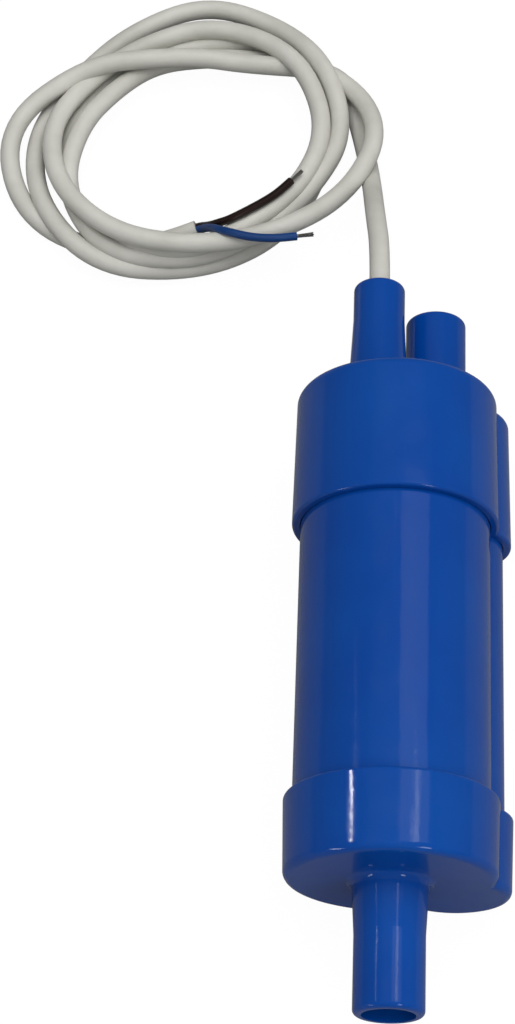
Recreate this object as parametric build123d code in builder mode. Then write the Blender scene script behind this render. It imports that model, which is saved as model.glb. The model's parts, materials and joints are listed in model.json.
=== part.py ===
from build123d import *

import os
from math import asin, cos, dist, pi, radians, sin, sqrt, tan

# Inline water pump of a caravan, lying on its side with its cable coiled behind it
# Millimetres, +Z up, +Y from the inlet to the outlet, standing on Z = 0

# Casing: a round motor tube and a smaller round water duct along its side
body_radius = 19.0
body_wall = 1.6
duct_radius = 9.8
duct_offset = 15.4
pump_length = 101.8
gasket_thickness = 1.0
motor_rib_count = 6
motor_rib_width = 1.8

# End caps: distances along the pump are counted from the end face of the inlet cap
cap_wall = 1.55
cap_gap = 0.15
cap_draft = 0.35
end_wall = 2.2
inlet_cap_length = 15.8
outlet_cap_length = 28.7
plenum_length = 12.6
inlet_edge_radius = 1.6
outlet_edge_radius = 1.7
rim_radius = 0.6

# Hose spigots and the cable stub
inlet_length = 25.3
inlet_tip_radius = 6.75
inlet_root_radius = 7.25
inlet_bore_radius = 5.1
outlet_length = 22.2
outlet_tip_radius = 6.25
outlet_root_radius = 7.2
outlet_bore_radius = 5.0
outlet_offset = 10.2
stub_length = 25.2
stub_tip_radius = 5.3
stub_root_radius = 6.05
stub_bore_radius = 4.2
stub_offset = 5.0
spigot_land = 15.0
stub_land = 8.0
spigot_flare = 1.6
tip_edge_radius = 1.0

# Pump chamber
chamber_length = 9.3
plate_thickness = 3.0
plug_gap = 0.15
volute_gap = 0.3
volute_wall = 3.25
volute_growth = 1.0
throat_width = 9.0
impeller_gap = 1.0
impeller_clearance = 1.3
impeller_disc = 1.2
impeller_hub_radius = 3.4
blade_count = 6
blade_thickness = 1.1
blade_inner_radius = 4.6
blade_curve_radius = 8.0
blade_lead = 52.0
clip_radius = 3.0
clip_thickness = 0.4
clip_gap = 0.1

# Shaft seal
seal_radius = 4.8
seal_depth = 4.0
seal_shell = 1.0
spring_wire = 0.35
plate_boss_radius = 10.0
plate_boss_length = 5.0
plate_recess_radius = 4.7
plate_recess_depth = 2.0

# Rubber rings of round section
ring_wire = 0.6
ring_squeeze = 0.05
ring_setback = 1.5

# Motor
can_clearance = 1.4
rear_room = 17.5
can_wall = 1.2
can_boss_radius = 4.3
can_boss_length = 1.5
shaft_radius = 1.6
shaft_overhang = 1.1
running_gap = 0.04
shaft_hole_gap = 0.5
shaft_chamfer = 0.2
bush_radius = 3.2
bush_length = 3.4
bush_gap = 0.05
magnet_thickness = 2.7
magnet_overhang = 3.0
magnet_start = 6.5
magnet_angle = 140.0
magnet_gap = 0.1
clip_wire_width = 1.6
air_gap = 0.5
pole_count = 5
pole_slot = 2.2
winding_overhang = 2.6
winding_gap = 0.15
winding_inset = 1.0
commutator_radius = 3.9
commutator_length = 6.5
commutator_clearance = 1.9
commutator_end_gap = 1.0
riser_radius = 4.9
riser_length = 1.0
segment_slot = 0.35
washer_radius = 2.9
washer_thickness = 0.8
washer_gap = 0.15

# Parts of the armature as shares of its radius
stem_share = 0.26
shoe_share = 0.13
hub_share = 0.4
winding_share = 0.14

# Brush gear on the motor's end bell
bell_thickness = 2.5
bell_boss_radius = 4.8
bell_boss_length = 3.7
brush_gap = 0.2
brush_setback = 10.0
brush_width = 4.0
brush_height = 3.4
brush_centre = 3.3
holder_wall = 1.0
holder_gap = 0.1
holder_setback = 1.2
arm_thickness = 0.3
arm_width = 3.0
terminal_thickness = 0.5
terminal_width = 3.2
terminal_length = 17.5
terminal_inset = 1.6

# Suppressor parts and the leads inside the motor cover
capacitor_radius = 3.2
capacitor_thickness = 2.2
capacitor_leg = 0.3
choke_radius = 2.3
choke_length = 5.4
choke_gap = 0.3
lead_bend = 1.2
lead_spread = 1.0

# Cover behind the motor, with its cable spigot
cushion_thickness = 1.0
cushion_width = 1.8
cover_wall = 1.65
cover_end = 3.0
cover_spigot_radius = 3.95
cover_spigot_length = 20.0
jacket_gap = 0.1
gland_gap = 0.08

# Cable: two cores in a round jacket
cable_radius = 2.15
core_radius = 0.85
strand_radius = 0.4
core_spread = 0.95
core_exit = 3.4
strand_length = 3.6

# Route of the lead: straight out of the stub, then down to the ground and on to the coil
lead_exit = 9.85
lead_points = (
    (-5.8, 97.0, 19.7),
    (-6.8, 112.5, 6.8),
    (-8.3, 124.0, 2.2),
    (-10.3, 134.5, 2.2),
    (-13.8, 141.5, 2.2),
)

# Coil: its loose turns run anticlockwise, seen from above, round one centre
# Corners of each turn: angle in degrees, reach from that centre, height of the cable's middle
coil_centre = (-46.3, 127.0)
coil_turns = (
    ((135, 25.5, 2.2), (225, 32.5, 2.2), (315, 22.5, 2.2)),
    ((45, 19.0, 2.5), (135, 20.0, 4.0), (225, 29.5, 13.5), (270, 31.0, 9.0), (315, 32.0, 9.5)),
    ((45, 35.0, 11.0), (135, 35.0, 3.5), (225, 38.5, 3.0), (315, 27.5, 3.5)),
    ((45, 28.0, 9.0), (135, 30.0, 5.0), (225, 37.0, 12.5), (315, 37.5, 13.5)),
    (
        (0, 35.0, 8.5),
        (35, 28.0, 3.0),
        (90, 20.0, 10.0),
        (135, 21.0, 10.0),
        (165, 36.5, 10.0),
        (200, 44.0, 2.2),
        (225, 43.0, 7.5),
        (267, 25.0, 7.0),
    ),
)

# Routes of the two bare cores, from straight out of the jacket's cut end to their stripped tips
core_routes = {
    "blue": ((-36.1, 100.5, 9.4), (-31.9, 100.0, 16.2), (-26.9, 96.2, 17.9), (-22.1, 93.6, 17.0)),
    "brown": ((-35.7, 104.6, 6.4), (-31.7, 107.4, 6.2), (-28.3, 110.2, 6.6)),
}

# Spacing of the points that measure the coil's gap to itself, and how far apart they must be
gap_sample = 1.0
turn_spacing = 30.0

# A bend's share of its shorter run
bend_share = 0.45

# A cut runs this far past the surface that it opens
overrun = 1.0

# Distances along the pump that follow from the sizes above
body_start = end_wall + gasket_thickness
plenum_start = pump_length - end_wall - plenum_length
body_end = plenum_start - gasket_thickness
plate_front = end_wall + chamber_length
plate_back = plate_front + plate_thickness
seal_floor = plate_front + seal_depth
can_front = plate_back + plate_boss_length
cover_inside = body_end - cover_end
can_end = cover_inside - rear_room
can_length = can_end - can_front
cushion_end = can_end + cushion_thickness
bell_front = can_end - bell_thickness
magnet_front = can_front + magnet_start
core_start = magnet_front + magnet_overhang
commutator_start = bell_front - commutator_end_gap - commutator_length
core_length = commutator_start - commutator_clearance - winding_overhang - core_start
magnet_length = core_length + 2 * magnet_overhang
inlet_tip = -inlet_length
outlet_tip = pump_length + outlet_length
stub_tip = pump_length + stub_length

# Radii that follow from the sizes above
bore_radius = body_radius - body_wall
plug_radius = bore_radius - plug_gap
volute_radius = plug_radius - volute_wall
impeller_radius = volute_radius - impeller_gap
can_radius = bore_radius - can_clearance
brush_length = can_radius - brush_setback
holder_length = brush_length - holder_setback
cap_radius = body_radius + cap_gap + cap_wall
duct_cap_radius = duct_radius + cap_gap + cap_wall
hole_radius = shaft_radius + shaft_hole_gap
bearing_bore_radius = shaft_radius + running_gap
magnet_outer_radius = can_radius - can_wall - magnet_gap
magnet_inner_radius = magnet_outer_radius - magnet_thickness
armature_radius = magnet_inner_radius - air_gap
pole_stem = armature_radius * stem_share
pole_shoe = armature_radius * shoe_share
core_hub_radius = armature_radius * hub_share
winding_width = armature_radius * winding_share

# The duct hangs low on the right, so that the tube and the duct both touch the ground
duct_tilt = asin((body_radius - duct_radius) / duct_offset)
duct_way = Vector(cos(duct_tilt), 0, -sin(duct_tilt))
right_reach = duct_offset * cos(duct_tilt) + duct_cap_radius
axis_point = Vector((cap_radius - right_reach) / 2, -(inlet_tip + stub_tip) / 2, cap_radius)
section = Plane(origin=axis_point, x_dir=duct_way, z_dir=(0, 1, 0))


def along(distance):
    """Plane square to the pump's axis; its x points to the duct."""
    return section.offset(distance)


def turn(*outline, offset=0, mode=Mode.ADD):
    """Revolve an outline of (distance, radius) points about the axis or a line beside it."""
    origin = axis_point + duct_way * offset
    with BuildSketch(Plane(origin=origin, x_dir=section.z_dir, z_dir=section.y_dir)) as profile:
        with BuildLine():
            Polyline(*outline, close=True)
        make_face()
    revolve(profile.sketch, axis=Axis(origin, section.z_dir), mode=mode)


def tube(start, end, outer, inner, offset=0):
    """Straight tube between two distances along the pump."""
    turn((start, inner), (start, outer), (end, outer), (end, inner), offset=offset)


def ring(distance, outer, wire):
    """Ring of round section about the pump's axis, given its outer radius."""
    with BuildSketch(Plane(origin=axis_point, x_dir=section.z_dir, z_dir=section.y_dir)) as profile:
        with Locations((distance, outer - wire)):
            Circle(wire)
    revolve(profile.sketch, axis=Axis(axis_point, section.z_dir))


def casing_outline(growth):
    """The tube and the duct as two joined circles, grown by a margin."""
    Circle(body_radius + growth)
    with Locations((duct_offset, 0)):
        Circle(duct_radius + growth)


def casing_ring(start, end, outer_growth, inner_growth):
    """Wall between two casing outlines."""
    with BuildSketch(along(start)) as outer_shape:
        casing_outline(outer_growth)
    extrude(outer_shape.sketch, amount=end - start)
    with BuildSketch(along(start)) as inner_shape:
        casing_outline(inner_growth)
    extrude(inner_shape.sketch, amount=end - start, mode=Mode.SUBTRACT)


def spigot(root, tip, root_radius, tip_radius, land, offset=0):
    """Hose spigot with a flared root, a slight taper, a straight land and a rounded tip."""
    way = 1 if tip > root else -1
    origin = axis_point + duct_way * offset
    with BuildSketch(Plane(origin=origin, x_dir=section.z_dir, z_dir=section.y_dir)) as profile:
        with BuildLine():
            Polyline((tip, 0), (root, 0), (root, root_radius + spigot_flare))
            RadiusArc(
                (root, root_radius + spigot_flare),
                (root + way * spigot_flare, root_radius),
                spigot_flare * -way,
            )
            Polyline(
                (root + way * spigot_flare, root_radius),
                (tip - way * land, tip_radius),
                (tip - way * tip_edge_radius, tip_radius),
            )
            RadiusArc(
                (tip - way * tip_edge_radius, tip_radius),
                (tip, tip_radius - tip_edge_radius),
                tip_edge_radius * way,
            )
            Line((tip, tip_radius - tip_edge_radius), (tip, 0))
        make_face()
    revolve(profile.sketch, axis=Axis(origin, section.z_dir))


def bore(start, end, radius, offset=0):
    """Round hole between two distances along the pump."""
    with BuildSketch(along(start)) as hole:
        with Locations((offset, 0)):
            Circle(radius)
    extrude(hole.sketch, amount=end - start, mode=Mode.SUBTRACT)


def cap_shell(face, rim, edge_radius):
    """Drafted cap, solid inside, with a rounded outer edge at its end face and its rim."""
    way = 1 if rim > face else -1
    for radius, offset in ((cap_radius, 0), (duct_cap_radius, duct_offset)):
        origin = axis_point + duct_way * offset
        face_radius = radius - cap_draft
        with BuildSketch(Plane(origin=origin, x_dir=section.z_dir, z_dir=section.y_dir)) as profile:
            with BuildLine():
                Line((face, 0), (face, face_radius - edge_radius))
                RadiusArc(
                    (face, face_radius - edge_radius),
                    (face + way * edge_radius, face_radius),
                    edge_radius * way,
                )
                Line((face + way * edge_radius, face_radius), (rim - way * rim_radius, radius))
                RadiusArc(
                    (rim - way * rim_radius, radius),
                    (rim, radius - rim_radius),
                    rim_radius * way,
                )
                Polyline((rim, radius - rim_radius), (rim, 0), (face, 0))
            make_face()
        revolve(profile.sketch, axis=Axis(origin, section.z_dir))


def save(piece, name):
    """Label a finished piece and write its STEP file."""
    piece.part.label = name
    export_step(piece.part, f"parts/{name}.step")


os.makedirs("parts", exist_ok=True)

# Body casing: the motor tube with its ribs, and the duct behind the tube's own wall
with BuildPart() as body_casing:
    with BuildSketch(along(body_start)):
        casing_outline(0)
    extrude(amount=body_end - body_start)
    bore(body_start, body_end, bore_radius)
    with BuildSketch(along(body_start)):
        with Locations((duct_offset, 0)):
            Circle(duct_radius - body_wall)
        Circle(body_radius, mode=Mode.SUBTRACT)
    extrude(amount=body_end - body_start, mode=Mode.SUBTRACT)
    with BuildSketch(along(body_start)):
        with Locations((duct_offset, 0)):
            Circle(duct_radius - body_wall)
    extrude(amount=plate_front - body_start, mode=Mode.SUBTRACT)
    rib_reach = bore_radius - can_radius - cap_gap
    with BuildSketch(along(can_front)):
        with PolarLocations(bore_radius - rib_reach / 2, motor_rib_count):
            Rectangle(rib_reach + body_wall, motor_rib_width)
        Circle(can_radius + cap_gap, mode=Mode.SUBTRACT)
    extrude(amount=can_length)
save(body_casing, "body_casing")

# Inlet cap with the round inlet spigot on the pump's axis
with BuildPart() as inlet_cap:
    cap_shell(0, inlet_cap_length, inlet_edge_radius)
    with BuildSketch(along(end_wall)):
        casing_outline(cap_gap)
    extrude(amount=inlet_cap_length, mode=Mode.SUBTRACT)
    spigot(0, inlet_tip, inlet_root_radius, inlet_tip_radius, spigot_land)
    bore(inlet_tip - overrun, end_wall + overrun, inlet_bore_radius)
save(inlet_cap, "inlet_cap")

# Outlet cap: a long skirt over the body, a plenum, the outlet spigot and the cable stub
with BuildPart() as outlet_cap:
    cap_shell(pump_length, pump_length - outlet_cap_length, outlet_edge_radius)
    with BuildSketch(along(pump_length - outlet_cap_length)):
        casing_outline(cap_gap)
    extrude(amount=outlet_cap_length - end_wall - plenum_length, mode=Mode.SUBTRACT)
    with BuildSketch(along(plenum_start)):
        casing_outline(-body_wall)
    extrude(amount=plenum_length, mode=Mode.SUBTRACT)
    spigot(pump_length, outlet_tip, outlet_root_radius, outlet_tip_radius, spigot_land, outlet_offset)
    spigot(pump_length, stub_tip, stub_root_radius, stub_tip_radius, stub_land, -stub_offset)
    bore(pump_length - end_wall - overrun, outlet_tip + overrun, outlet_bore_radius, outlet_offset)
    bore(pump_length - end_wall - overrun, stub_tip + overrun, stub_bore_radius, -stub_offset)
save(outlet_cap, "outlet_cap")

# Flat gaskets between the body's ends and the caps
with BuildPart() as inlet_cap_seal:
    casing_ring(end_wall, body_start, 0, -body_wall)
save(inlet_cap_seal, "inlet_cap_seal")

with BuildPart() as outlet_cap_seal:
    casing_ring(body_end, plenum_start, 0, -body_wall)
save(outlet_cap_seal, "outlet_cap_seal")

# Volute plate: closes the motor tube, holds the shaft seal and carries the volute wall
ring_seat_radius = bore_radius - ring_squeeze
groove_floor_radius = ring_seat_radius - 2 * ring_wire - ring_squeeze
with BuildPart() as volute_plate:
    volute_start = end_wall + volute_gap
    with BuildSketch(along(volute_start)):
        Circle(plug_radius)
    extrude(amount=plate_back - volute_start)
    with BuildSketch(along(volute_start)):
        Circle(volute_radius)
        with Locations((volute_growth, 0)):
            Circle(volute_radius + volute_growth)
        with Locations((0, -volute_radius)):
            Rectangle(4 * volute_radius, 2 * volute_radius, mode=Mode.INTERSECT)
        Circle(volute_radius)
        with Locations((body_radius, -throat_width / 2)):
            Rectangle(2 * (body_radius - blade_inner_radius), throat_width)
    extrude(amount=plate_front - volute_start, mode=Mode.SUBTRACT)
    with BuildSketch(along(plate_back)):
        Circle(plate_boss_radius)
    extrude(amount=plate_boss_length)
    bore(plate_front - overrun, seal_floor, seal_radius + bush_gap)
    bore(plate_front, can_front + overrun, hole_radius)
    bore(can_front - plate_recess_depth, can_front + overrun, plate_recess_radius)
    turn(
        (plate_front + plate_thickness / 2 - ring_wire - ring_squeeze, groove_floor_radius),
        (plate_front + plate_thickness / 2 - ring_wire - ring_squeeze, bore_radius),
        (plate_front + plate_thickness / 2 + ring_wire + ring_squeeze, bore_radius),
        (plate_front + plate_thickness / 2 + ring_wire + ring_squeeze, groove_floor_radius),
        mode=Mode.SUBTRACT,
    )
save(volute_plate, "volute_plate")

with BuildPart() as plate_seal:
    ring(plate_front + plate_thickness / 2, ring_seat_radius, ring_wire)
save(plate_seal, "plate_seal")

# Lip seal round the shaft, with its garter spring
with BuildPart() as shaft_seal:
    seal_front = plate_front + bush_gap
    web_front = seal_floor - seal_shell
    lip_root_radius = shaft_radius + seal_shell
    turn(
        (seal_front, seal_radius),
        (seal_floor, seal_radius),
        (seal_floor, shaft_radius + ring_wire),
        (web_front, shaft_radius + ring_wire),
        (seal_front + seal_shell, bearing_bore_radius),
        (seal_front, bearing_bore_radius + ring_squeeze),
        (seal_front, lip_root_radius),
        (web_front, lip_root_radius),
        (web_front, seal_radius - seal_shell),
        (seal_front, seal_radius - seal_shell),
    )
save(shaft_seal, "shaft_seal")

with BuildPart() as seal_spring:
    ring(seal_front + seal_shell, lip_root_radius + 2 * spring_wire + ring_squeeze, spring_wire)
save(seal_spring, "seal_spring")

# Impeller: a back disc with curved blades on a hub, held on the shaft by a push-on clip
impeller_front = end_wall + impeller_clearance + clip_thickness + clip_gap
impeller_back = plate_front - impeller_clearance / 2
shaft_start = end_wall + impeller_clearance - clip_gap
with BuildPart() as impeller:
    tube(impeller_back - impeller_disc, impeller_back, impeller_radius, shaft_radius)
    tube(impeller_front, impeller_back, impeller_hub_radius, shaft_radius)
    with BuildSketch(along(impeller_front), mode=Mode.PRIVATE) as blade_shape:
        with BuildLine():
            lead = radians(blade_lead)
            tip_reach = impeller_radius - blade_thickness
            RadiusArc(
                (blade_inner_radius, 0),
                (tip_reach * cos(lead), tip_reach * sin(lead)),
                -blade_curve_radius,
            )
        trace(line_width=blade_thickness)
    with BuildSketch(along(impeller_front)):
        with PolarLocations(0, blade_count):
            add(blade_shape.sketch_local)
    extrude(amount=impeller_back - impeller_front)
save(impeller, "impeller")

with BuildPart() as impeller_clip:
    clip_end = impeller_front - clip_gap
    tube(clip_end - clip_thickness, clip_end, clip_radius, shaft_radius)
save(impeller_clip, "impeller_clip")

# Motor can with its front bearing boss
bush_start = can_front - can_boss_length + can_wall / 2
with BuildPart() as motor_can:
    turn(
        (can_front - can_boss_length, hole_radius),
        (can_front - can_boss_length, can_boss_radius),
        (can_front, can_boss_radius),
        (can_front, can_radius),
        (can_end, can_radius),
        (can_end, can_radius - can_wall),
        (can_front + can_wall, can_radius - can_wall),
        (can_front + can_wall, bush_radius + bush_gap),
        (bush_start - bush_gap, bush_radius + bush_gap),
        (bush_start - bush_gap, hole_radius),
    )
save(motor_can, "motor_can")

with BuildPart() as front_bearing:
    tube(bush_start, bush_start + bush_length, bush_radius, bearing_bore_radius)
save(front_bearing, "front_bearing")

# Two curved magnets, and the two clips that spread them in the can
with BuildPart() as magnets:
    tube(magnet_front, magnet_front + magnet_length, magnet_outer_radius, magnet_inner_radius)
    half_gap = (pi - radians(magnet_angle)) / 2
    gap_reach = 2 * can_radius
    with BuildSketch(along(magnet_front)):
        for way in (1, -1):
            with BuildLine():
                Polyline(
                    (0, 0),
                    (way * gap_reach, gap_reach * tan(half_gap)),
                    (way * gap_reach, -gap_reach * tan(half_gap)),
                    close=True,
                )
            make_face()
    extrude(amount=magnet_length, mode=Mode.SUBTRACT)
save(magnets, "magnets")

with BuildPart() as magnet_clips:
    clip_reach = magnet_outer_radius - clip_wire_width / 2
    with BuildSketch(along(magnet_front)):
        with PolarLocations(clip_reach, 2):
            Rectangle(clip_wire_width, 2 * clip_reach * sin(half_gap) - 2 * magnet_gap)
        Circle(magnet_outer_radius, mode=Mode.INTERSECT)
    extrude(amount=magnet_length)
save(magnet_clips, "magnet_clips")

# Armature: laminated poles, one coil on each pole, and the commutator
with BuildPart() as armature_core:
    with BuildSketch(along(core_start)):
        Circle(armature_radius)
        Circle(armature_radius - pole_shoe, mode=Mode.SUBTRACT)
        with PolarLocations(armature_radius, pole_count, start_angle=180 / pole_count):
            Rectangle(2 * armature_radius - 2 * core_hub_radius, pole_slot, mode=Mode.SUBTRACT)
        Circle(core_hub_radius)
        with PolarLocations((core_hub_radius + armature_radius - pole_shoe) / 2, pole_count):
            Rectangle(armature_radius - pole_shoe - core_hub_radius + overrun, pole_stem)
        Circle(shaft_radius, mode=Mode.SUBTRACT)
    extrude(amount=core_length)
save(armature_core, "armature_core")

stem_start = core_hub_radius + winding_inset
winding_half_width = pole_stem / 2 + winding_gap + winding_width
stem_end = sqrt((armature_radius - pole_shoe) ** 2 - winding_half_width**2) - winding_gap
with BuildPart() as armature_windings:
    for pole in range(pole_count):
        pole_turn = 2 * pi * pole / pole_count
        pole_way = section.x_dir * cos(pole_turn) + section.y_dir * sin(pole_turn)
        pole_middle = along(core_start + core_length / 2).origin
        pole_face = Plane(pole_middle + pole_way * stem_start, x_dir=section.z_dir, z_dir=pole_way)
        with BuildSketch(pole_face):
            RectangleRounded(
                core_length + 2 * winding_overhang,
                2 * winding_half_width,
                winding_width,
            )
            Rectangle(core_length + 2 * winding_gap, pole_stem + 2 * winding_gap, mode=Mode.SUBTRACT)
        extrude(amount=stem_end - stem_start)
save(armature_windings, "armature_windings")

with BuildPart() as commutator:
    tube(commutator_start, commutator_start + commutator_length, commutator_radius, shaft_radius)
    tube(commutator_start, commutator_start + riser_length, riser_radius, shaft_radius)
    with BuildSketch(along(commutator_start)):
        with PolarLocations(riser_radius, pole_count, start_angle=180 / pole_count):
            Rectangle(2 * (riser_radius - shaft_radius) - 2 * segment_slot, segment_slot)
    extrude(amount=commutator_length, mode=Mode.SUBTRACT)
save(commutator, "commutator")

# Shaft, with its two thrust washers beside the bearings
rear_bush_start = can_end - bell_thickness + bush_gap
shaft_end = rear_bush_start + bush_length + shaft_overhang
with BuildPart() as motor_shaft:
    with BuildSketch(along(shaft_start)):
        Circle(shaft_radius)
    extrude(amount=shaft_end - shaft_start)
    chamfer(motor_shaft.edges().group_by(Axis.Y)[0], shaft_chamfer)
save(motor_shaft, "motor_shaft")

with BuildPart() as thrust_washers:
    front_washer = bush_start + bush_length + washer_gap
    tube(front_washer, front_washer + washer_thickness, washer_radius, shaft_radius)
    rear_washer = rear_bush_start - washer_gap - washer_thickness
    tube(rear_washer, rear_washer + washer_thickness, washer_radius, shaft_radius)
save(thrust_washers, "thrust_washers")

# End bell: closes the can, carries the rear bearing, the brush holders and the terminals
bell_radius = can_radius - can_wall - bush_gap
brush_middle = commutator_start + commutator_length - brush_centre
holder_inner = riser_radius + holder_gap
arm_inner = commutator_radius + brush_gap + brush_length + bush_gap
terminal_inner = arm_inner + arm_thickness + bush_gap
terminal_start = brush_middle - terminal_inset
with BuildPart() as end_bell:
    turn(
        (bell_front, bush_radius + bush_gap),
        (bell_front, bell_radius),
        (can_end, bell_radius),
        (can_end, bell_boss_radius),
        (can_end + bell_boss_length, bell_boss_radius),
        (can_end + bell_boss_length, 0),
        (rear_bush_start + bush_length + shaft_overhang + bush_gap, 0),
        (rear_bush_start + bush_length + shaft_overhang + bush_gap, hole_radius),
        (rear_bush_start + bush_length + bush_gap, hole_radius),
        (rear_bush_start + bush_length + bush_gap, bush_radius + bush_gap),
    )
    holder_front = brush_middle - brush_height / 2 - holder_gap - holder_wall
    with BuildSketch(along(holder_front)):
        for way in (1, -1):
            with Locations((0, way * (holder_inner + holder_length / 2))):
                Rectangle(brush_width + 2 * holder_gap + 2 * holder_wall, holder_length)
    extrude(amount=bell_front - holder_front)
    with BuildSketch(along(brush_middle - brush_height / 2 - holder_gap)):
        Rectangle(brush_width + 2 * holder_gap, 2 * bell_radius)
    extrude(amount=brush_height + 2 * holder_gap, mode=Mode.SUBTRACT)
    with BuildSketch(along(bell_front - overrun)):
        for way in (1, -1):
            with Locations((0, way * (terminal_inner + terminal_thickness / 2))):
                Rectangle(terminal_width + 2 * bush_gap, terminal_thickness + 2 * bush_gap)
    extrude(amount=bell_thickness + 2 * overrun, mode=Mode.SUBTRACT)
save(end_bell, "end_bell")

with BuildPart() as rear_bearing:
    tube(rear_bush_start, rear_bush_start + bush_length, bush_radius, bearing_bore_radius)
save(rear_bearing, "rear_bearing")


def pair_of_blocks(start, length, inner, thickness, width):
    """Two alike blocks on either side of the shaft."""
    with BuildSketch(along(start)) as blocks:
        for way in (1, -1):
            with Locations((0, way * (inner + thickness / 2))):
                Rectangle(width, thickness)
    extrude(blocks.sketch, amount=length)


with BuildPart() as brushes:
    brush_start = brush_middle - brush_height / 2
    pair_of_blocks(brush_start, brush_height, commutator_radius + brush_gap, brush_length, brush_width)
save(brushes, "brushes")

with BuildPart() as brush_arms:
    arm_start = brush_middle - brush_height / 2
    pair_of_blocks(arm_start, bell_front - bush_gap - arm_start, arm_inner, arm_thickness, arm_width)
save(brush_arms, "brush_arms")

with BuildPart() as motor_terminals:
    pair_of_blocks(terminal_start, terminal_length, terminal_inner, terminal_thickness, terminal_width)
save(motor_terminals, "motor_terminals")

# Capacitor across the terminals, and a choke in line with each terminal
terminal_end = terminal_start + terminal_length
terminal_middle = terminal_inner + terminal_thickness / 2
with BuildPart() as suppressor_capacitor:
    capacitor_place = can_end + bell_boss_length + capacitor_radius + choke_gap
    across = Plane(
        origin=along(capacitor_place).origin - section.x_dir * capacitor_thickness / 2,
        x_dir=section.z_dir,
        z_dir=section.x_dir,
    )
    with BuildSketch(across):
        Circle(capacitor_radius)
    extrude(amount=capacitor_thickness)
    leg_place = terminal_end - capacitor_leg - choke_gap
    with BuildSketch(Plane(origin=along(leg_place).origin, x_dir=section.x_dir, z_dir=section.y_dir)):
        Circle(capacitor_leg)
    extrude(amount=terminal_inner - bush_gap, both=True)
save(suppressor_capacitor, "suppressor_capacitor")

choke_start = terminal_end + choke_gap
choke_end = choke_start + choke_length
with BuildPart() as chokes:
    with BuildSketch(along(choke_start)):
        for way in (1, -1):
            with Locations((0, way * terminal_middle)):
                Circle(choke_radius)
    extrude(amount=choke_length)
save(chokes, "chokes")

# Rubber cushion between the motor and its cover
cushion_radius = can_radius
with BuildPart() as motor_cushion:
    tube(can_end, cushion_end, cushion_radius, cushion_radius - cushion_width)
save(motor_cushion, "motor_cushion")

# Motor cover: a cup that presses on the cushion, with the cable's spigot through the plenum
cover_ring_place = body_end - ring_setback
cover_spigot_end = body_end + cover_spigot_length
with BuildPart() as motor_cover:
    tube(cushion_end, body_end, plug_radius, plug_radius - cover_wall)
    tube(cover_inside, body_end, plug_radius, 0)
    tube(body_end, cover_spigot_end, cover_spigot_radius, 0, offset=-stub_offset)
    bore(cover_inside - overrun, cover_spigot_end + overrun, cable_radius + jacket_gap, -stub_offset)
    turn(
        (cover_ring_place - ring_wire - ring_squeeze, groove_floor_radius),
        (cover_ring_place - ring_wire - ring_squeeze, bore_radius),
        (cover_ring_place + ring_wire + ring_squeeze, bore_radius),
        (cover_ring_place + ring_wire + ring_squeeze, groove_floor_radius),
        mode=Mode.SUBTRACT,
    )
save(motor_cover, "motor_cover")

with BuildPart() as cover_seal:
    ring(cover_ring_place, ring_seat_radius, ring_wire)
save(cover_seal, "cover_seal")

# Rubber gland that holds the cable in the stub
with BuildPart() as cable_gland:
    gland_start = cover_spigot_end + gland_gap
    gland_radius = stub_bore_radius - gland_gap
    tube(gland_start, stub_tip, gland_radius, cable_radius + gland_gap, offset=-stub_offset)
save(cable_gland, "cable_gland")


def bend_radii(points):
    """Radius of each corner of a route, as large as its two runs allow."""
    radii = []
    for before, corner, after in zip(points, points[1:], points[2:]):
        arriving = corner - before
        leaving = after - corner
        shorter = min(arriving.length, leaving.length)
        radii.append(bend_share * shorter / tan(radians(arriving.get_angle(leaving)) / 2))
    return radii


def wire_tube(points, radii, radius):
    """Tube of round section along straight runs joined by arcs."""
    with BuildLine() as route:
        FilletPolyline(*points, radius=radii)
    with BuildSketch(Plane(origin=points[0], z_dir=points[1] - points[0])) as wire_section:
        Circle(radius)
    sweep(wire_section.sketch, path=route.wire())
    return route.wire().length


def report(name, piece, length, radius, radii):
    """Print a tube's length, its volume against section times length, and its bends."""
    share = piece.part.volume / (pi * radius**2 * length)
    bends = ", ".join(f"{bend:.1f}" for bend in radii)
    print(f"{name}: length {length:.1f} mm, volume share {share:.4f}, bend radii {bends} mm")


def biarc(start, start_way, end, end_way):
    """Two arcs that leave one point and reach another in the given directions."""
    chord = end - start
    both = chord.dot(start_way + end_way)
    spread = 2 * (1 - start_way.dot(end_way))
    reach = (sqrt(both**2 + spread * chord.dot(chord)) - both) / spread
    leave = start + start_way * reach
    arrive = end - end_way * reach
    middle = (leave + arrive) / 2
    TangentArc(start, middle, tangent=start_way)
    TangentArc(middle, end, tangent=arrive - leave)


# Cable inside the pump, from the motor cover to the stub's mouth
with BuildPart() as cable_inner:
    tube(cover_inside, stub_tip, cable_radius, 0, offset=-stub_offset)
save(cable_inner, "cable_inner")

# The two cores inside the cover, from the cable to the chokes
cable_entry = along(cover_inside)
lead_turn = along((choke_end + cover_inside) / 2)
choke_face = along(choke_end)
for name, way in (("inner_core_blue", 1), ("inner_core_brown", -1)):
    with BuildPart() as inner_core:
        wire_tube(
            [
                cable_entry.from_local_coords(Vector(-stub_offset, way * lead_spread, 0)),
                lead_turn.from_local_coords(Vector(-stub_offset, way * lead_spread, 0)),
                lead_turn.from_local_coords(Vector(0, way * terminal_middle, 0)),
                choke_face.from_local_coords(Vector(0, way * terminal_middle, 0)),
            ],
            [lead_bend, lead_bend],
            core_radius,
        )
    save(inner_core, name)

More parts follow.
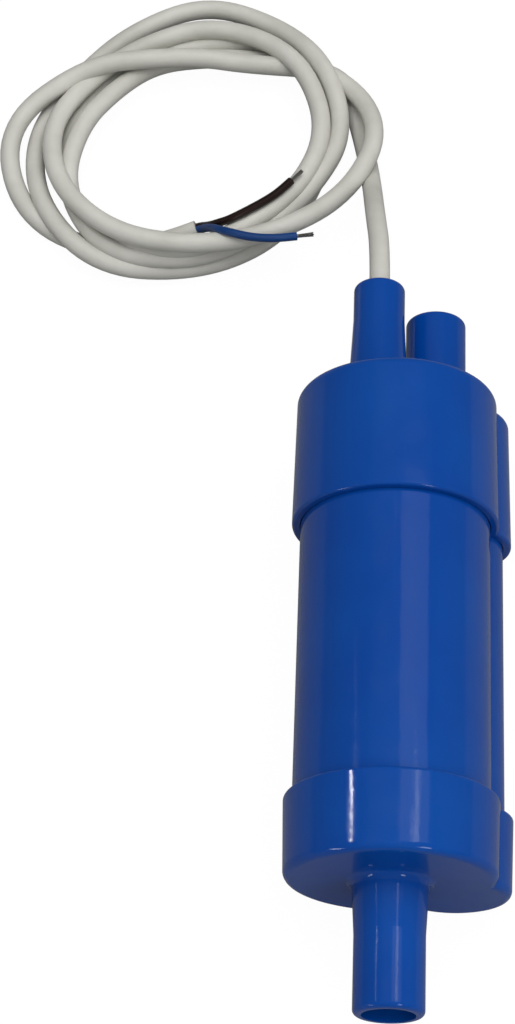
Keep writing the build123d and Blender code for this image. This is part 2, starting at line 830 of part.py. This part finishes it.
# Lead of the cable outside the pump
stub_mouth = along(stub_tip).from_local_coords(Vector(-stub_offset, 0, 0))
lead_route = [stub_mouth, stub_mouth + section.z_dir * lead_exit]
lead_route += [Vector(*point) for point in lead_points]
lead_radii = bend_radii(lead_route)
with BuildPart() as cable_lead:
    lead_length = wire_tube(lead_route, lead_radii, cable_radius)
report("cable_lead", cable_lead, lead_length, cable_radius, lead_radii)
save(cable_lead, "cable_lead")

# Coil of the cable: straight for one diameter at each end, with two arcs between corners
cable_diameter = 2 * cable_radius
centre_x, centre_y = coil_centre
coil_start = lead_route[-1]
coil_way = (coil_start - lead_route[-2]).normalized()
corners = [coil_start + coil_way * cable_diameter]
for turn_corners in coil_turns:
    for angle, reach, height in turn_corners:
        turned = radians(angle)
        corners.append(Vector(centre_x + reach * cos(turned), centre_y + reach * sin(turned), height))
end_way = Vector(-sin(turned), cos(turned), 0)
ways = [coil_way]
for before, after in zip(corners, corners[2:]):
    ways.append((after - before).normalized())
ways.append(end_way)
coil_end = corners[-1] + end_way * cable_diameter
with BuildPart() as cable_coil:
    with BuildLine() as coil_route:
        Line(coil_start, corners[0])
        for place in range(len(corners) - 1):
            biarc(corners[place], ways[place], corners[place + 1], ways[place + 1])
        Line(corners[-1], coil_end)
    with BuildSketch(Plane(origin=coil_start, z_dir=coil_way)):
        Circle(cable_radius)
    sweep(path=coil_route.wire())
coil_length = coil_route.wire().length
coil_bends = [bend.radius for bend in coil_route.edges().filter_by(GeomType.CIRCLE)]
report("cable_coil", cable_coil, coil_length, cable_radius, [min(coil_bends)])
save(cable_coil, "cable_coil")

# The two cores past the jacket's end, each with its tinned strand
for (name, corners_of_core), way in zip(core_routes.items(), (-1, 1)):
    core_root = coil_end + Vector(-end_way.Y, end_way.X, 0) * core_spread * way
    core_route = [core_root, core_root + end_way * core_exit]
    core_route += [Vector(*point) for point in corners_of_core]
    core_bends = bend_radii(core_route)
    with BuildPart() as core:
        wire_length = wire_tube(core_route, core_bends, core_radius)
    report(f"core_{name}", core, wire_length, core_radius, core_bends)
    save(core, f"core_{name}")
    with BuildPart() as strand:
        with BuildSketch(Plane(origin=core_route[-1], z_dir=core_route[-1] - core_route[-2])):
            Circle(strand_radius)
        extrude(amount=strand_length)
    save(strand, f"strand_{name}")

# Least gap of the coil to itself, between points a spacing apart along it
samples = round(coil_length / gap_sample)
coil_points = [tuple(coil_route.wire().position_at(place / samples)) for place in range(samples + 1)]
apart = round(turn_spacing / gap_sample)
least = min(
    dist(point, other)
    for place, point in enumerate(coil_points)
    for other in coil_points[place + apart :]
)
print(f"least gap of the coil to itself {least - cable_diameter:.2f} mm")
cable_length = lead_length + coil_length + stub_tip - cover_inside
print(f"whole cable {cable_length:.0f} mm")
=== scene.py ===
import json
from math import cos, pi, radians, sin

import bpy
from mathutils import Matrix, Vector


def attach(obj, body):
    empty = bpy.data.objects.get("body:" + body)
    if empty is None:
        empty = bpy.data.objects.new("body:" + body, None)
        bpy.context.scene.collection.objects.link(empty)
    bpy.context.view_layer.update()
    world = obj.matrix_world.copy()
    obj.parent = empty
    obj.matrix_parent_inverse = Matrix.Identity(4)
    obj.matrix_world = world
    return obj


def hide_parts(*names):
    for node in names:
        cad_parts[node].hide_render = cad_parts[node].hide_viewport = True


# Caravan water pump on a white table, its cable coiled behind it
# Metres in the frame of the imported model; cable routes are written in millimetres
MM = 0.001
UP = Vector((0, 0, 1))
ALONG_PUMP = Vector((0, 1, 0))
WHITE = (1, 1, 1, 1)

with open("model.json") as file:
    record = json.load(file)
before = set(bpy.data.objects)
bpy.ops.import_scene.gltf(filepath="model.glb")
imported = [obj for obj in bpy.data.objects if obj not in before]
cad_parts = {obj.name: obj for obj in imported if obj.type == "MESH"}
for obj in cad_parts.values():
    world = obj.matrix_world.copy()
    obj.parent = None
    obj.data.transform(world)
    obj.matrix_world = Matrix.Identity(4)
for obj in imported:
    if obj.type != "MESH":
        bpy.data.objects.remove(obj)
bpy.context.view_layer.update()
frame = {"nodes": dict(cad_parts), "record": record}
nodes = frame["nodes"]

# Node trees

# Sockets of a Mix node that blends colours
MIX_SHARE = 0
MIX_FIRST = 6
MIX_SECOND = 7
MIX_COLOUR = 2
# Range that most of a noise pattern lies in
NOISE_LOW = 0.3
NOISE_HIGH = 0.7


def srgb(red, green, blue):
    """Linear colour from the 0 to 255 values of a screen colour, by the sRGB curve."""
    values = []
    for value in (red, green, blue):
        share = value / 255
        values.append(share / 12.92 if share <= 0.04045 else ((share + 0.055) / 1.055) ** 2.4)
    return (*values, 1.0)


class Graph:
    """Node tree, with short calls for what the materials and the world here need."""

    def __init__(self, tree):
        self.tree = tree

    def add(self, kind, **values):
        node = self.tree.nodes.new(kind)
        for key, value in values.items():
            setattr(node, key, value)
        return node

    def link(self, source, target):
        self.tree.links.new(source, target)

    def feed(self, socket, value):
        """Give an input a plain value, or link it to the output that makes the value."""
        if isinstance(value, (int, float, tuple)):
            socket.default_value = value
        else:
            self.link(value, socket)

    def combine(self, operation, first, second):
        """Sum or product of two values; each may be an output or a plain number."""
        node = self.add("ShaderNodeMath", operation=operation)
        self.feed(node.inputs[0], first)
        self.feed(node.inputs[1], second)
        return node.outputs[0]

    def white_where_seen(self, plain, white, direct_share, mirrored_share, target):
        """Blend a white glow into a shader for the rays that see it directly or in a gloss."""
        path = self.add("ShaderNodeLightPath")
        rays = path.outputs
        direct = self.combine("ADD", rays["Is Camera Ray"], rays["Is Transmission Ray"])
        direct = self.combine("MULTIPLY", direct, direct_share)
        mirrored = self.combine("MULTIPLY", rays["Is Glossy Ray"], mirrored_share)
        blend = self.add("ShaderNodeMixShader")
        self.link(self.combine("ADD", direct, mirrored), blend.inputs[0])
        self.link(plain, blend.inputs[1])
        self.link(white, blend.inputs[2])
        self.link(blend.outputs[0], target)


class Surface(Graph):
    """Material with one principled shader, patterned in object coordinates."""

    def __init__(self, name):
        self.material = bpy.data.materials.new(name)
        self.material.use_nodes = True
        super().__init__(self.material.node_tree)
        self.shader = self.tree.nodes["Principled BSDF"]
        self.output = self.tree.nodes["Material Output"]
        self.place = self.add("ShaderNodeTexCoord").outputs["Object"]

    def set(self, name, value):
        """Give an input of the shader a plain value or the output of a pattern."""
        self.feed(self.shader.inputs[name], value)

    def scaled(self, x, y, z):
        """Object coordinates stretched by a factor along each axis."""
        mapping = self.add("ShaderNodeMapping")
        mapping.inputs["Scale"].default_value = (x, y, z)
        self.link(self.place, mapping.inputs["Vector"])
        return mapping.outputs["Vector"]

    def noise(self, scale, detail=2.0, roughness=0.5, vector=None):
        node = self.add("ShaderNodeTexNoise")
        node.inputs["Scale"].default_value = scale
        node.inputs["Detail"].default_value = detail
        node.inputs["Roughness"].default_value = roughness
        self.link(self.place if vector is None else vector, node.inputs["Vector"])
        return node.outputs["Fac"]

    def spread(self, value, low, high, to_low=0.0, to_high=1.0):
        """Value brought from one range to another, and held inside it."""
        node = self.add("ShaderNodeMapRange")
        node.inputs["From Min"].default_value = low
        node.inputs["From Max"].default_value = high
        node.inputs["To Min"].default_value = to_low
        node.inputs["To Max"].default_value = to_high
        self.link(value, node.inputs["Value"])
        return node.outputs["Result"]

    def mix(self, share, first, second):
        """Colour between two colours; each may be an output or a plain colour."""
        node = self.add("ShaderNodeMix", data_type="RGBA")
        self.feed(node.inputs[MIX_SHARE], share)
        self.feed(node.inputs[MIX_FIRST], first)
        self.feed(node.inputs[MIX_SECOND], second)
        return node.outputs[MIX_COLOUR]

    def bump(self, height, strength, distance, under=None):
        """Normal of a raised pattern, on top of another one if that is given."""
        node = self.add("ShaderNodeBump")
        node.inputs["Strength"].default_value = strength
        node.inputs["Distance"].default_value = distance
        self.link(height, node.inputs["Height"])
        if under is not None:
            self.link(under, node.inputs["Normal"])
        return node.outputs["Normal"]

    def uneven_roughness(self, pattern, middle, below, above):
        """Roughness that a pattern moves a little below and above its middle value."""
        return self.spread(pattern, NOISE_LOW, NOISE_HIGH, middle - below, middle + above)


# Materials

DUST_COLOUR = srgb(170, 185, 205)
DUST_STRENGTH = 0.5
SCUFF_ROUGHNESS = 0.1
MOULDED_IOR = 1.48
SOFT_IOR = 1.5
SOFT_GRAIN = 900.0


def dust(surface):
    """Share of dust at each place: small specks, in a few of the pattern's cells."""
    cells = surface.add("ShaderNodeTexVoronoi", feature="F1")
    cells.inputs["Scale"].default_value = 260.0
    surface.link(surface.place, cells.inputs["Vector"])
    near = surface.spread(cells.outputs["Distance"], low=0.02, high=0.05, to_low=1.0, to_high=0.0)
    chance = surface.add("ShaderNodeSeparateColor")
    surface.link(cells.outputs["Color"], chance.inputs["Color"])
    few = surface.spread(chance.outputs["Red"], low=0.93, high=0.96)
    return surface.combine("MULTIPLY", surface.combine("MULTIPLY", near, few), DUST_STRENGTH)


def moulded_plastic(name, deep, light, roughness, dusty=True):
    """Injection-moulded plastic: slow colour drift, faint orange peel, fine scuffs and dust."""
    surface = Surface(name)
    drift = surface.spread(surface.noise(38.0, detail=3.0), low=0.35, high=0.65)
    colour = surface.mix(drift, deep, light)
    along_flow = surface.scaled(1.0, 0.12, 1.0)
    flow = surface.noise(120.0, detail=4.0, roughness=0.6, vector=along_flow)
    colour = surface.mix(surface.spread(flow, low=0.55, high=0.8, to_high=0.18), colour, light)
    if dusty:
        colour = surface.mix(dust(surface), colour, DUST_COLOUR)
    surface.set("Base Color", colour)
    along_wear = surface.scaled(1.0, 0.04, 1.0)
    scuffs = surface.spread(surface.noise(900.0, vector=along_wear), low=0.62, high=0.78)
    haze = surface.uneven_roughness(surface.noise(220.0, detail=3.0), roughness, 0.03, 0.04)
    worn = surface.combine("MULTIPLY", scuffs, SCUFF_ROUGHNESS)
    surface.set("Roughness", surface.combine("ADD", haze, worn))
    peel = surface.bump(surface.noise(520.0), strength=0.05, distance=0.0004)
    sink = surface.noise(60.0, detail=1.0)
    surface.set("Normal", surface.bump(sink, strength=0.06, distance=0.002, under=peel))
    surface.set("IOR", MOULDED_IOR)
    return surface.material


def soft_plastic(name, deep, light, roughness):
    """Flexible cable plastic: faint handling marks and a fine grain."""
    surface = Surface(name)
    drift = surface.noise(70.0, detail=4.0, roughness=0.6)
    colour = surface.mix(surface.spread(drift, NOISE_LOW, NOISE_HIGH), deep, light)
    smudge = surface.noise(190.0, detail=5.0, roughness=0.7)
    marks = surface.spread(smudge, low=0.6, high=0.85, to_high=0.35)
    surface.set("Base Color", surface.mix(marks, colour, deep))
    haze = surface.noise(260.0, detail=3.0)
    surface.set("Roughness", surface.uneven_roughness(haze, roughness, 0.06, 0.06))
    grain = surface.noise(SOFT_GRAIN, detail=3.0, roughness=0.6)
    fine = surface.bump(grain, strength=0.12, distance=0.0002)
    waves = surface.noise(130.0)
    surface.set("Normal", surface.bump(waves, strength=0.15, distance=0.0006, under=fine))
    surface.set("IOR", SOFT_IOR)
    return surface.material


def metal(name, base, stain, roughness, lines=(1.0, 1.0, 1.0)):
    """Bare metal with machining lines and a little tarnish."""
    surface = Surface(name)
    surface.set("Metallic", 1.0)
    tarnish = surface.noise(180.0, detail=4.0, roughness=0.6)
    stained = surface.spread(tarnish, low=0.45, high=0.75)
    surface.set("Base Color", surface.mix(stained, base, stain))
    turned = surface.noise(700.0, vector=surface.scaled(*lines))
    surface.set("Roughness", surface.uneven_roughness(turned, roughness, 0.08, 0.12))
    surface.set("Normal", surface.bump(turned, strength=0.15, distance=0.0002))
    return surface.material


def mineral(name, deep, light, roughness, grain=700.0):
    """Sintered or pressed material, such as ferrite, carbon, ceramic and rubber."""
    surface = Surface(name)
    mottle = surface.noise(grain, detail=4.0, roughness=0.6)
    patches = surface.spread(mottle, NOISE_LOW, NOISE_HIGH)
    surface.set("Base Color", surface.mix(patches, deep, light))
    haze = surface.noise(grain / 2, detail=3.0)
    surface.set("Roughness", surface.uneven_roughness(haze, roughness, 0.05, 0.05))
    pits = surface.noise(grain * 2)
    surface.set("Normal", surface.bump(pits, strength=0.25, distance=0.0002))
    return surface.material


# Finish of each material slot in the record; a metal's last values stretch its lines along x, y and z
finishes = {
    "blue_plastic": moulded_plastic("pump_blue", srgb(4, 64, 148), srgb(6, 70, 154), 0.1),
    "seal_rubber": mineral("seal_rubber", srgb(24, 24, 25), srgb(38, 38, 38), 0.6),
    "steel": metal("steel", (0.55, 0.55, 0.56, 1), (0.4, 0.39, 0.37, 1), 0.3, (1, 0.1, 1)),
    "brass": metal("brass", (0.7, 0.5, 0.2, 1), (0.5, 0.33, 0.13, 1), 0.3),
    "copper": metal("copper", (0.62, 0.25, 0.11, 1), (0.4, 0.15, 0.07, 1), 0.35, (1, 1, 6)),
    "ferrite": mineral("ferrite", srgb(38, 38, 41), srgb(62, 62, 64), 0.55),
    "laminations": metal(
        "laminations", (0.25, 0.25, 0.26, 1), (0.13, 0.11, 0.1, 1), 0.5, (1, 14, 1)
    ),
    "white_plastic": moulded_plastic(
        "white_plastic", srgb(208, 206, 198), srgb(222, 220, 213), 0.35, dusty=False
    ),
    "carbon": mineral("carbon", srgb(26, 26, 28), srgb(44, 44, 46), 0.5),
    "ceramic": mineral("ceramic", srgb(176, 110, 42), srgb(196, 128, 54), 0.25, grain=300.0),
    "cable_jacket": soft_plastic("cable_jacket", srgb(188, 187, 179), srgb(205, 204, 197), 0.42),
    "core_blue": soft_plastic("core_blue", srgb(4, 48, 104), srgb(10, 62, 122), 0.38),
    "core_brown": soft_plastic("core_brown", srgb(22, 9, 6), srgb(34, 17, 13), 0.35),
    "tinned": metal("tinned", (0.5, 0.5, 0.48, 1), (0.28, 0.27, 0.25, 1), 0.34, (1, 0.2, 1)),
}
for entry in frame["record"]["subparts"]:
    thing = nodes[entry["node"]]
    finish = finishes[entry["material_slot"]]
    if thing.material_slots:
        for slot in thing.material_slots:
            slot.material = finish
    else:
        thing.data.materials.append(finish)

# Cable and cores

CABLE_RADIUS = 2.15 * MM
CORE_RADIUS = 0.92 * MM
SPLINE_ORDER = 3
# Fineness of the mesh: steps from one point of a route to the next, and round the cable
CABLE_STEPS = 10
CABLE_ROUNDING = 10


def round_curve(name, radius, rounding, material):
    """Curve object without splines yet; they will be round rods with closed ends."""
    curve = bpy.data.curves.new(name, "CURVE")
    curve.dimensions = "3D"
    curve.bevel_depth = radius
    curve.bevel_resolution = rounding
    curve.use_fill_caps = True
    curve.materials.append(material)
    piece = bpy.data.objects.new(name, curve)
    bpy.context.collection.objects.link(piece)
    return piece


def add_spline(piece, points, steps):
    """Open NURBS spline along points in millimetres, from the first to the last."""
    spline = piece.data.splines.new("NURBS")
    spline.points.add(len(points) - 1)
    for control, point in zip(spline.points, points):
        control.co = (*(value * MM for value in point), 1.0)
    spline.order_u = SPLINE_ORDER
    spline.use_endpoint_u = True
    spline.resolution_u = steps


def rod(name, points, radius, material):
    """Smooth round cable or core along one spline."""
    piece = round_curve(name, radius, CABLE_ROUNDING, material)
    add_spline(piece, points, CABLE_STEPS)
    return piece


# Lead from the stub's mouth down to the table
lead = [
    (-5.585, 76.15, 23.687),
    (-5.585, 86.0, 23.687),
    (-6.7, 97.0, 19.7),
    (-7.3, 112.5, 6.8),
    (-8.7, 124.0, 2.2),
    (-11.2, 134.5, 2.2),
]

# Loose turns: reach from the coil's middle and height, at one angle after the other
COIL_MIDDLE = (-46.3, 127.0)
TURN_STEP = radians(30)
turns = (
    (
        (37.0, 2.2), (25.5, 2.2), (22.0, 2.2), (22.0, 3.5), (22.0, 5.5), (27.0, 6.0),
        (34.0, 6.4), (38.5, 6.5), (34.5, 5.5), (31.0, 6.5), (30.0, 6.0), (33.0, 6.0),
    ),
    (
        (32.5, 9.0), (34.5, 4.0), (37.5, 2.2), (33.5, 2.2), (32.5, 2.2), (37.5, 2.2),
        (40.5, 5.0), (41.5, 5.0), (35.0, 2.2), (32.0, 2.2), (29.5, 2.2), (28.5, 2.2),
    ),
    (
        (31.5, 2.2), (31.0, 2.2), (26.0, 2.2), (24.0, 2.2), (28.0, 2.2), (29.5, 2.2),
        (34.0, 3.5), (35.0, 7.0), (34.0, 8.5), (29.0, 8.5), (28.0, 8.0), (28.5, 7.5),
    ),
    (
        (27.5, 9.8), (28.5, 6.5), (29.0, 5.0), (27.0, 5.0), (28.0, 6.0), (33.5, 7.0),
        (35.5, 9.8), (35.5, 11.0), (34.0, 11.4), (35.0, 11.0), (39.0, 10.5), (41.5, 9.0),
    ),
    (
        (34.5, 5.5), (21.0, 5.5), (19.0, 6.6), (19.5, 9.2), (30.0, 8.5), (44.5, 5.0),
        (44.5, 2.2), (36.5, 2.2),
    ),
)
coil = []
angle = TURN_STEP
for turn in turns:
    for reach, height in turn:
        across = COIL_MIDDLE[0] + reach * cos(angle)
        away = COIL_MIDDLE[1] + reach * sin(angle)
        coil.append((across, away, height))
        angle += TURN_STEP

# Last stretch, up to the jacket's cut end
tail = [(-55.5, 98.7, 2.6), (-50.4, 99.6, 3.8), (-45.5, 101.0, 5.2)]
cable = rod("cable", [*lead, *coil, *tail], CABLE_RADIUS, finishes["cable_jacket"])

# Cores past the jacket's end
blue_route = [
    (-45.8, 100.8, 5.2), (-45.0, 100.8, 5.6), (-43.6, 100.2, 7.4), (-41.9, 98.3, 10.6),
    (-39.9, 95.9, 13.6), (-37.1, 94.5, 14.7), (-33.8, 93.7, 14.7), (-30.5, 93.6, 14.4),
    (-27.0, 93.9, 14.1), (-23.4, 94.6, 13.9),
]
brown_route = [
    (-45.8, 101.7, 5.0), (-44.9, 101.8, 5.4), (-43.5, 101.2, 6.6), (-42.1, 100.4, 8.4),
    (-40.5, 100.0, 10.0), (-38.5, 100.2, 10.9), (-35.8, 101.6, 11.3), (-32.6, 103.6, 11.4),
    (-29.4, 105.9, 11.4), (-27.2, 107.9, 11.4), (-25.1, 110.3, 11.4),
]
blue_core = rod("blue_core", blue_route, CORE_RADIUS, finishes["core_blue"])
brown_core = rod("brown_core", brown_route, CORE_RADIUS, finishes["core_brown"])

# Stripped ends: fine wires in rings, each with its radius in millimetres and its number of wires
WIRE_RINGS = ((0.0, 1), (0.17, 6), (0.33, 12))
WIRE_RADIUS = 0.085 * MM
WIRE_POINTS = 9
WIRE_STEPS = 4
WIRE_ROUNDING = 3
# Length that stays hidden in the core, in millimetres
WIRE_ROOT = 0.8
# The tips are uneven: wires fall short by up to this share, in a few steps that jump about the rings
UNEVEN_SHARE = 0.06
UNEVEN_STEPS = 4
PLACE_JUMP = 7
RING_JUMP = 3


def wire_bundle(name, core_route, length, twists, splay, material):
    """Stripped conductor: fine tinned wires laid round one, twisted, and loose at the tip."""
    start = Vector(core_route[-1])
    way = (start - Vector(core_route[-2])).normalized()
    side = way.cross(UP).normalized()
    above = side.cross(way)
    bundle = round_curve(name, WIRE_RADIUS, WIRE_ROUNDING, material)
    for ring, (radius, count) in enumerate(WIRE_RINGS):
        for place in range(count):
            short = (PLACE_JUMP * place + RING_JUMP * ring) % (UNEVEN_STEPS + 1)
            reached = 1 - UNEVEN_SHARE * short / UNEVEN_STEPS
            points = []
            for step in range(WIRE_POINTS):
                share = reached * step / (WIRE_POINTS - 1)
                around = 2 * pi * (place / count + twists * share)
                loose = radius * (1 + splay * share**3)
                middle = start + way * (share * (length + WIRE_ROOT) - WIRE_ROOT)
                points.append(middle + (side * cos(around) + above * sin(around)) * loose)
            add_spline(bundle, points, WIRE_STEPS)
    return bundle


blue_wires = wire_bundle(
    "blue_wires", blue_route, length=3.7, twists=0.55, splay=0.35, material=finishes["tinned"]
)
brown_wires = wire_bundle(
    "brown_wires", brown_route, length=3.6, twists=0.5, splay=0.1, material=finishes["tinned"]
)

for piece in (cable, blue_core, brown_core, blue_wires, brown_wires):
    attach(piece, "pump")
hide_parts("cable_lead", "cable_coil")
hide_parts("core_blue")
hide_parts("core_brown")
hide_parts("strand_blue")
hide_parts("strand_brown")

# Table: plain white to the camera, and dim in the light that it throws back
TABLE_HALF = 3.0
TABLE_GREY = 0.2
TABLE_ROUGHNESS = 0.75
TABLE_GLOW = 1.21
TABLE_DIRECT_SHARE = 0.8
TABLE_MIRRORED_SHARE = 0.03

floor_mesh = bpy.data.meshes.new("floor")
corners = [
    (-TABLE_HALF, -TABLE_HALF, 0),
    (TABLE_HALF, -TABLE_HALF, 0),
    (TABLE_HALF, TABLE_HALF, 0),
    (-TABLE_HALF, TABLE_HALF, 0),
]
floor_mesh.from_pydata(corners, [], [(0, 1, 2, 3)])
floor = bpy.data.objects.new("floor", floor_mesh)
bpy.context.collection.objects.link(floor)
table = Surface("table_white")
table.set("Base Color", (TABLE_GREY, TABLE_GREY, TABLE_GREY, 1))
table.set("Roughness", TABLE_ROUGHNESS)
glow = table.add("ShaderNodeEmission")
glow.inputs["Color"].default_value = WHITE
glow.inputs["Strength"].default_value = TABLE_GLOW
table.white_where_seen(
    table.shader.outputs[0],
    glow.outputs[0],
    TABLE_DIRECT_SHARE,
    TABLE_MIRRORED_SHARE,
    table.output.inputs["Surface"],
)
floor_mesh.materials.append(table.material)

# World: a white backdrop that gives little light of its own
SKY_STRENGTH = 0.12
BACKDROP_STRENGTH = 1.0
BACKDROP_DIRECT_SHARE = 1.0
BACKDROP_MIRRORED_SHARE = 0.01

world = bpy.data.worlds.new("studio")
bpy.context.scene.world = world
world.use_nodes = True
sky = Graph(world.node_tree)
dim = sky.tree.nodes["Background"]
bright = sky.add("ShaderNodeBackground")
for background, strength in ((dim, SKY_STRENGTH), (bright, BACKDROP_STRENGTH)):
    background.inputs["Color"].default_value = WHITE
    background.inputs["Strength"].default_value = strength
sky.white_where_seen(
    dim.outputs[0],
    bright.outputs[0],
    BACKDROP_DIRECT_SHARE,
    BACKDROP_MIRRORED_SHARE,
    sky.tree.nodes["World Output"].inputs["Surface"],
)

# Lamps


def lamp(name, place, target, width, length, power):
    """Rectangular lamp that faces a point, its length along the pump."""
    light = bpy.data.lights.new(name, "AREA")
    light.shape = "RECTANGLE"
    light.size = width
    light.size_y = length
    light.energy = power
    back = (Vector(place) - Vector(target)).normalized()
    side = ALONG_PUMP.cross(back).normalized()
    facing = Matrix((side, back.cross(side), back)).transposed().to_4x4()
    thing = bpy.data.objects.new(name, light)
    thing.matrix_world = Matrix.Translation(place) @ facing
    bpy.context.collection.objects.link(thing)
    return thing


# Points that the lamps face
TABLE_MIDDLE = (0, 0, 0)
PUMP_MIDDLE = (0, 0, 0.02)
INLET_CAP = (0, -0.04, 0.02)
CAP_EDGE = (0, -0.05, 0.03)
INLET_SPIGOT = (0, -0.06, 0.02)

# Each lamp has its name, place, point to face, width, length and power in watts
soft_lamps = (
    ("overhead", (0.0, 0.3, 1.27), TABLE_MIDDLE, 1.2, 1.2, 12.3),
    ("front", (0.0, -0.62, 1.15), TABLE_MIDDLE, 1.2, 1.2, 4.5),
    ("right_fill", (1.0, 0.1, 0.45), PUMP_MIDDLE, 0.8, 0.8, 3.0),
    ("inlet_fill", (0.12, -0.42, 0.1), INLET_SPIGOT, 0.2, 0.2, 0.24),
)
mirrored_lamps = (
    ("left_window", (-0.413, 0.131, 0.457), INLET_CAP, 0.022, 0.016, 0.06),
    ("right_window", (0.29, 0.158, 0.657), INLET_CAP, 0.05, 0.09, 0.026),
    ("right_panel", (0.30, 0.26, 0.76), PUMP_MIDDLE, 0.45, 0.3, 0.2),
    ("left_low", (-0.42, 0.097, 0.457), INLET_SPIGOT, 0.02, 0.094, 0.0095),
    ("right_low", (0.24, 0.095, 0.657), INLET_SPIGOT, 0.06, 0.095, 0.022),
    ("left_front", (-0.586, -0.57, 0.22), CAP_EDGE, 0.06, 0.3, 0.45),
    ("right_front", (0.446, -0.652, 0.55), CAP_EDGE, 0.16, 0.2, 0.6),
)
# The soft lamps give the even light, and the others the highlights on the glossy plastic
for values in soft_lamps:
    lamp(*values).visible_glossy = False
for values in mirrored_lamps:
    lamp(*values)

# Camera: the photograph's point of view, with its slight roll; lens and sensor in millimetres
CAMERA_PLACE = Vector((-15.094, -188.41, 469.179)) * MM
CAMERA_ELEVATION = radians(64.474)
CAMERA_AZIMUTH = radians(-3.793)
CAMERA_ROLL = radians(-1.903)
CAMERA_LENS = 86.92
CAMERA_SENSOR = 36.0
CAMERA_NEAR = 0.01

camera_data = bpy.data.cameras.new("camera")
camera_data.lens = CAMERA_LENS
camera_data.sensor_width = CAMERA_SENSOR
camera_data.clip_start = CAMERA_NEAR
camera = bpy.data.objects.new("camera", camera_data)
bpy.context.collection.objects.link(camera)
flat = cos(CAMERA_ELEVATION)
look = Vector((flat * sin(CAMERA_AZIMUTH), flat * cos(CAMERA_AZIMUTH), -sin(CAMERA_ELEVATION)))
level = look.cross(UP).normalized()
upright = level.cross(look)
right = cos(CAMERA_ROLL) * level + sin(CAMERA_ROLL) * upright
above = cos(CAMERA_ROLL) * upright - sin(CAMERA_ROLL) * level
facing = Matrix((right, above, -look)).transposed().to_4x4()
camera.matrix_world = Matrix.Translation(CAMERA_PLACE) @ facing
bpy.context.scene.camera = camera
bpy.context.scene.view_settings.view_transform = "Standard"
